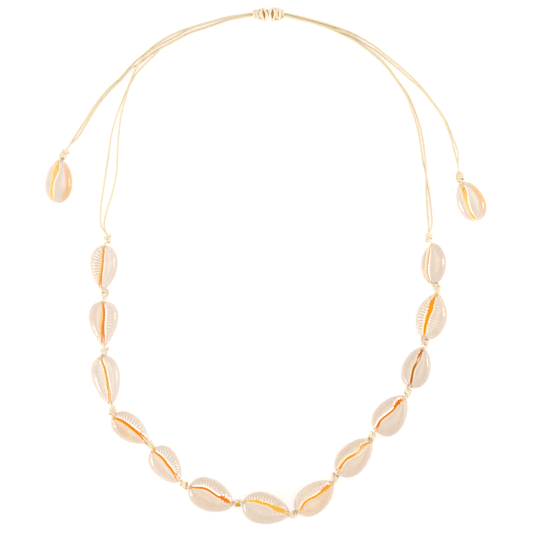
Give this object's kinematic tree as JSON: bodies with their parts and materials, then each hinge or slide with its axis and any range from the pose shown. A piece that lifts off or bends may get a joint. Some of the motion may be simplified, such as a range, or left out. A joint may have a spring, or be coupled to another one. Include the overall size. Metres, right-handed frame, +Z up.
{
  "type": "shell choker",
  "caption": "Choker of cowrie shells knotted one after another on a doubled waxed cord, with sliding knots at the back and a shell on each cord tail, laid out flat.",
  "frame": {"origin": "middle of the choker's box, on the surface it lies on", "axes": "+Y from the front shells towards the sliding knots at the back, +X to the right seen from above, +Z up, out of the shells' slits"},
  "size_m": [0.198, 0.2321, 0.0088],
  "materials": {
    "shell": "glossy",
    "cord": "waxed"
  },
  "bodies": {
    "root": {"shell_01": "shell", "shell_02": "shell", "shell_03": "shell", "shell_04": "shell", "shell_05": "shell", "shell_06": "shell", "shell_07": "shell", "shell_08": "shell", "shell_09": "shell", "shell_10": "shell", "shell_11": "shell", "shell_12": "shell", "shell_13": "shell", "tail_shell_left": "shell", "tail_shell_right": "shell", "knot_01": "cord", "knot_02": "cord", "knot_03": "cord", "knot_04": "cord", "knot_05": "cord", "knot_06": "cord", "knot_07": "cord", "knot_08": "cord", "knot_09": "cord", "knot_10": "cord", "knot_11": "cord", "knot_12": "cord", "knot_13": "cord", "knot_14": "cord", "tail_knot_left": "cord", "tail_knot_right": "cord", "stop_knot_left": "cord", "stop_knot_right": "cord", "slide_knot_left": "cord", "slide_knot_right": "cord", "strand_thread_a": "cord", "strand_thread_b": "cord", "cord_left_a": "cord", "cord_left_b": "cord", "cord_right_a": "cord", "cord_right_b": "cord"}
  },
  "joints": []
}
